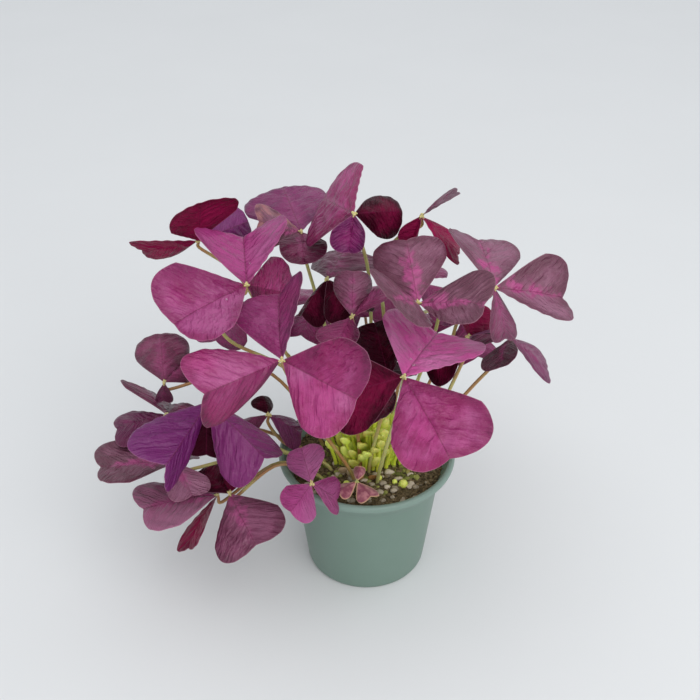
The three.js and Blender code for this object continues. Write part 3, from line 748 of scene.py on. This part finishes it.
def stalk_foot(x, y):
    """The two points that a stalk at x, y starts from, in the soil and at its top."""
    return [(x, y, SOIL["top"] - STALK["sunk"]), (x, y, SOIL["top"] + SOIL["crown"])]


def stalk_points(leaf):
    hub, (x, y), via, blades = leaf
    hub = np.array(hub, float)
    approach = stalk_approach(blades)
    return [*stalk_foot(x, y), *via, hub - approach * STALK["straight"],
            hub - approach * HUB_REACH, hub - approach * 0.5]


def make_stalk(number, leaf, materials):
    line = stem_line(stalk_points(leaf), 9)
    radii = np.linspace(1.15, 0.85, len(line))
    radii[-6:] *= np.linspace(1.0, 1.18, 6)
    shape = Shape()
    add_tube(shape, line, radii, 0, 12, rng.random())
    shape.build(f"petiole_{number:02d}", materials, [f"stalk_{number:02d}"], mark="stem")


# ---------------------------------------------------------------- young growth


def make_young_leaf(materials):
    hub, (x, y), _, blades = YOUNG_LEAF
    shape = Shape()
    for k, blade in enumerate(blades):
        phase = blade_phase(YOUNG_INDEX, k)
        add_blade(shape, hub, blade, phase, COARSE, (0.5, 0, 0), (0, 0), thickness=0.6)
    add_hub(shape, hub, blades, 1, 0.7)
    line = stem_line([*stalk_foot(x, y), hub], 8)
    add_tube(shape, line, np.linspace(1.1, 0.8, len(line)), 1, 10, 0.2)
    shape.build("young_leaflets", materials, ["young_leaf"])


def make_shoots(materials):
    """The crown with its folded shoots, and thinner stems between them."""
    x, y = SHOOTS["crown"]
    ground = SOIL["top"] + SOIL["crown"]
    shape = Shape()
    wide = SHOOTS["crown_radius"]
    add_lump(shape, 3, (x, y, ground - 0.5), (wide, wide, SHOOTS["crown_height"]), (0, 0, 1), 0,
             0.3, 0.04)
    for tip in SHOOTS["tips"]:
        tip = np.array(tip, float)
        foot = np.array([x + 0.3 * (tip[0] - x), y + 0.3 * (tip[1] - y), ground])
        bend = np.array([x + 0.55 * (tip[0] - x), y + 0.55 * (tip[1] - y), (foot[2] + tip[2]) / 2])
        line = stem_line([foot - (0, 0, 3), foot, bend, tip], 7)
        own = rng.random()
        add_tube(shape, line, np.linspace(1.35, 1.0, len(line)), 0, 12, own)
        lean = unit(tip - bend)
        add_lump(shape, 3, tip, (2.5, 1.9, 4.6), lean, 1, own, lobes=0.16)
    for k in range(STEMS["count"]):
        angle = 2 * math.pi * (k + rng.uniform(0, 0.8)) / STEMS["to_a_turn"]
        away_x, away_y = math.cos(angle), math.sin(angle)
        out = rng.uniform(*STEMS["out"]) * (STEMS["front_share"] if away_y < STEMS["front"] else 1)
        height = rng.uniform(*STEMS["height"]) * (1.15 - out / 40)
        foot = np.array([x + out * away_x, y + out * away_y, ground - 3])
        lean = np.array([away_x * rng.uniform(*STEMS["lean"]), away_y * rng.uniform(*STEMS["lean"]), 0])
        tip = foot + lean + (0, 0, height + 3)
        line = stem_line([foot, foot + (0, 0, 4), (foot + tip) / 2 - lean * 0.2, tip], 5)
        own = rng.random()
        add_tube(shape, line, np.linspace(1.4, 0.9, len(line)), 0, 8, own)
        # A folded leaflet at the tip.
        wide = rng.uniform(*STEMS["bud"])
        radii = (wide, 0.6 * wide, 1.9 * wide)
        add_lump(shape, 3, tip, radii, unit(lean + (0, 0, 6)), 1, own, lobes=0.2)
    shape.build("shoot_cluster", materials, ["young_shoots"], mark="stem")


# ---------------------------------------------------------------- pot and soil


def wall_radius(height):
    """The outer radius of the pot's wall below the lip."""
    if height <= POT["shoulder_height"]:
        return POT["base"] + (POT["shoulder"] - POT["base"]) * height / POT["shoulder_height"]
    flare = POT["height"] - POT["lip"] - POT["shoulder_height"]
    t = min(1, (height - POT["shoulder_height"]) / flare)
    return POT["shoulder"] + (POT["rim"] - 2 - POT["shoulder"]) * t * t * (1.5 - 0.5 * t)


def rounded(corners, radius=0.9, steps=4):
    """The same line of corners with each one rounded."""
    corners = [np.array(c, float) for c in corners]
    line = [corners[0]]
    for before, corner, after in zip(corners, corners[1:], corners[2:]):
        starts = []
        for other in (before, after):
            far = np.linalg.norm(other - corner)
            starts.append(corner + (other - corner) * min(radius, 0.45 * far) / far)
        for t in np.linspace(0, 1, steps):
            line.append((1 - t) ** 2 * starts[0] + 2 * t * (1 - t) * corner + t * t * starts[1])
    return [*line, corners[-1]]


def add_turned(shape, profile, facets, kind):
    """A lathe about +Z from (radius, height) points; a radius of 0 closes it."""
    rings, faces = [], []
    for radius, height in profile:
        if radius < 1e-6:
            rings.append([(0, 0, height)])
        else:
            angles = 2 * np.pi * np.arange(facets) / facets
            rings.append([(radius * math.cos(a), radius * math.sin(a), height) for a in angles])
    first = np.cumsum([0] + [len(ring) for ring in rings])
    for k in range(len(rings) - 1):
        a, b = first[k], first[k + 1]
        for j in range(facets):
            i = (j + 1) % facets
            corners = [a + j % len(rings[k]), a + i % len(rings[k]),
                       b + i % len(rings[k + 1]), b + j % len(rings[k + 1])]
            faces.append(tuple(dict.fromkeys(int(c) for c in corners)))
    shape.add([p for ring in rings for p in ring], faces, kind)


def make_pot(material):
    rim, top = POT["rim"], POT["height"]
    lip = top - POT["lip"]
    inside_floor = POT["floor"] + POT["foot"]
    outer = [(wall_radius(z), z) for z in (2, 20, 40, 56, 62, 65, 68, 71, 73.5, lip)]
    inner = [(r - POT["wall"], z) for r, z in reversed(outer[3:])]
    profile = [
        (0, 0), (18, 0), (19, POT["foot"]), (POT["base"] - 6, POT["foot"]), (POT["base"] - 5, 0),
        (POT["base"] - 1, 0), *outer, (rim - 0.6, lip), (rim, lip + 1.2), (rim, top - 1.2),
        (rim - 1.2, top), (rim - 3, top - 0.3), (rim - 3.8, top - 1.6), *inner,
        (wall_radius(8) - POT["wall"], 8),
        (wall_radius(inside_floor) - POT["wall"] - 1.5, inside_floor), (0, inside_floor),
    ]
    shape = Shape()
    add_turned(shape, rounded(profile), 144, 0)
    pot = shape.build("pot_shell", [material], ["pot"])
    cutters = Shape()
    for k in range(POT["drains"]):
        angle = 2 * math.pi * (k + 0.5) / POT["drains"]
        x, y = POT["drain_circle"] * math.cos(angle), POT["drain_circle"] * math.sin(angle)
        line = np.array([(x, y, -3.0), (x, y, 2.0), (x, y, 7.0)])
        add_tube(cutters, line, POT["drain_radius"], 0, 32)
    cut_with(pot, cutters)


def cut_with(piece, cutters):
    """Cuts the cutters out of the piece, and removes them."""
    mesh = bpy.data.meshes.new("cutters")
    mesh.from_pydata((np.concatenate(cutters.points) * MM).tolist(), [], cutters.faces)
    tool = bpy.data.objects.new("cutters", mesh)
    bpy.context.scene.collection.objects.link(tool)
    cut = piece.modifiers.new("cut", "BOOLEAN")
    cut.operation, cut.solver, cut.object = "DIFFERENCE", "EXACT", tool
    bpy.context.view_layer.update()
    shown = piece.evaluated_get(bpy.context.evaluated_depsgraph_get())
    piece.data = bpy.data.meshes.new_from_object(shown)
    piece.modifiers.clear()
    bpy.data.objects.remove(tool)


def soil_height(radius):
    """The solid soil's top."""
    edge = wall_radius(SOIL["top"]) - POT["wall"] - 1.0
    if radius > SOIL["dome"]:
        down = (edge - radius) / (edge - SOIL["dome"])
        return SOIL["top"] + SOIL["edge_drop"] * SOIL["crown"] * down
    return SOIL["top"] + SOIL["crown"] * (1 - SOIL["dome_drop"] * radius / SOIL["dome"])


def make_soil(material):
    """Compost with a rough top, on the solid's sides and base."""
    facets, rings = 160, 44
    edge = wall_radius(SOIL["top"]) - POT["wall"] - 0.4
    bottom = POT["floor"] + POT["foot"] + 0.3
    clear = [(wall_radius(z) - POT["wall"] - 0.6, z) for z in (8, 30, 56, 64, 68)]
    profile = [(0, bottom), (clear[0][0] - 1.5, bottom), *clear, (edge, SOIL["top"] - 0.6)]
    profile += [(edge * (1 - k / rings), 0.0) for k in range(1, rings + 1)]
    shape = Shape()
    add_turned(shape, profile, facets, 0)
    points = shape.points[0]
    for point in points[-(rings - 1) * facets - 1:]:
        place = Vector(point)
        rough = noise.fractal(place * 0.35, 1.0, 2.0, 3) + 0.7 * noise.noise(place * 0.12)
        point[2] = soil_height(math.hypot(point[0], point[1])) + rough
    shape.build("compost", [material], ["soil"], crisp=60)


def make_bits(name, count, sizes, material, level, outermost=45):
    """Loose bits lying on the compost, each at a seeded place and size."""
    shape = Shape()
    for _ in range(count):
        radius = math.sqrt(rng.uniform(0, outermost ** 2))
        angle = rng.uniform(0, 2 * math.pi)
        size = rng.uniform(*sizes)
        radii = size * np.array([1, rng.uniform(0.6, 1), rng.uniform(0.45, 0.8)])
        axis = unit(np.array([rng.normal(0, 0.35), rng.normal(0, 0.35), 1]))
        height = soil_height(radius) + 0.2 * size
        centre = (radius * math.cos(angle), radius * math.sin(angle), height)
        add_lump(shape, level, centre, radii, axis, 0, rng.random(), 0.14)
    shape.build(name, [material], mark="stem")


# Single bits at the front of the compost: each one's place and its size.
SCALE_BITS = [(-9, -17, 76, 4.2), (-5, -20, 76, 3.4), (-14, -15, 76, 3.6), (3, -20, 75, 3.0)]
PEBBLES = [
    (5, -16, 2.6), (13, -14, 3.0), (-2, -21, 2.4), (9, -23, 2.2), (18, -19, 2.6), (25, -15, 2.2),
    (-9, -19, 2.8), (-17, -16, 2.4), (15, -29, 2.0), (3, -30, 2.2), (28, -25, 2.0),
    (-22, -22, 2.4),
]
BEADS = [(21, -24, 2.6), (16, -22, 1.6), (-12, -24, 2.0), (7, -19, 1.8)]


def make_litter(husk, stone, green):
    """Dry bulb scales, pebbles and green beads among the stems."""
    shape = Shape()
    for x, y, z, size in SCALE_BITS:
        lean = unit(np.array([rng.normal(0, 0.6), rng.normal(-0.5, 0.4), 0.8]))
        radii = (0.8 * size, 0.35 * size, size)
        add_lump(shape, 3, (x, y, z), radii, lean, 0, rng.random(), 0.03, 0.1)
    for x, y, size in PEBBLES:
        radii = size * np.array([1, rng.uniform(0.5, 1), rng.uniform(0.45, 0.8)])
        height = soil_height(math.hypot(x, y)) + 0.25 * size
        lean = (rng.normal(0, 0.3), rng.normal(0, 0.3), 1)
        add_lump(shape, 3, (x, y, height), radii, lean, 1, rng.random(), 0.02, 0.12)
    for x, y, size in BEADS:
        height = soil_height(math.hypot(x, y)) + 0.5 * size
        add_lump(shape, 3, (x, y, height), (size, size, size), (0, 0, 1), 2, rng.random(), 0.02)
    shape.build("litter", [husk, stone, green], mark="stem")


# Drops of water: leaf, blade, along and across as for the blade's surface, and radius.
DROPS = [(11, 0, 0.47, -0.10, 1.1), (11, 0, 0.20, 0.16, 0.8), (11, 0, 0.26, -0.22, 0.6),
         (11, 0, 0.93, -0.14, 0.5), (1, 0, 0.30, 0.25, 0.6), (1, 1, 0.35, -0.3, 0.5)]


def water_finish():
    f = Finish("water", IOR=1.33, Transmission_Weight=0.9, Specular_IOR_Level=0.6)
    tint = f.mix(f.noise(1.5), WATER["tinted"], WATER["clear"])
    return f.finish(tint, f.sum(0.015, f.noise(0.6), 0.03))


def make_drops(material):
    shape = Shape()
    for number, k, along, across, radius in DROPS:
        hub, _, _, blades = LEAVES[number - 1]
        spot = np.array([along]), np.array([across])
        place = blade_surface(hub, blades[k], blade_phase(number - 1, k), *spot)[0][0]
        up = blade_axes(*blades[k][:3])[2]
        add_lump(shape, 3, place + up * 0.7, (radius, radius, 0.7 * radius), up, 0)
    shape.build("water_drops", [material], mark="stem")


# ---------------------------------------------------------------- the scene

set_camera()
set_sky()
add_light("key", KEY)
add_light("fill", FILL)

leaf_materials = [blade_finish("blade_upper", False), blade_finish("blade_under", True),
                  stalk_finish("hub_knob", GREEN["knob"], GREEN["knob"], 0.15)]
stalk_material = stalk_finish("stalk_skin", GREEN["pale"], GREEN["pale"], 0.8)
for number, leaf in enumerate(LEAVES, 1):
    make_leaf(number, leaf, leaf_materials)
    make_stalk(number, leaf, [stalk_material])
make_young_leaf([young_blade_finish(), stalk_material])
make_shoots([stalk_finish("shoot_skin", GREEN["shoot"], GREEN["shoot"], 0.2),
             stalk_finish("bud_skin", GREEN["shoot"], GREEN["bud"], 0.3)])
make_pot(plastic_finish())
make_soil(soil_finish())
make_bits("compost_crumbs", 900, (0.5, 1.5),
          bits_finish("crumb", EARTH["dark"], EARTH["light"], 0.95), 1)
stone = bits_finish("stone", EARTH["grit_dark"], EARTH["grit_light"], 0.8)
make_bits("grit", 110, (0.9, 2.4), stone, 2)
moss = bits_finish("moss", EARTH["moss_dark"], EARTH["moss_light"], 0.9)
make_bits("moss_bits", 260, (0.8, 2.0), moss, 2, 34)
husk = bits_finish("husk", EARTH["husk_dark"], EARTH["husk_light"], 0.6)
make_litter(husk, stone, stalk_finish("bead_green", GREEN["shoot"], GREEN["bud"], 0.1))
make_drops(water_finish())

floor = bpy.data.objects.new("floor", bpy.data.meshes.new("floor"))
corners = [(x * FLOOR_HALF, y * FLOOR_HALF, 0) for x, y in ((-1, -1), (1, -1), (1, 1), (-1, 1))]
floor.data.from_pydata(corners, [], [(0, 1, 2, 3)])
floor.data.materials.append(floor_finish())
bpy.context.scene.collection.objects.link(floor)
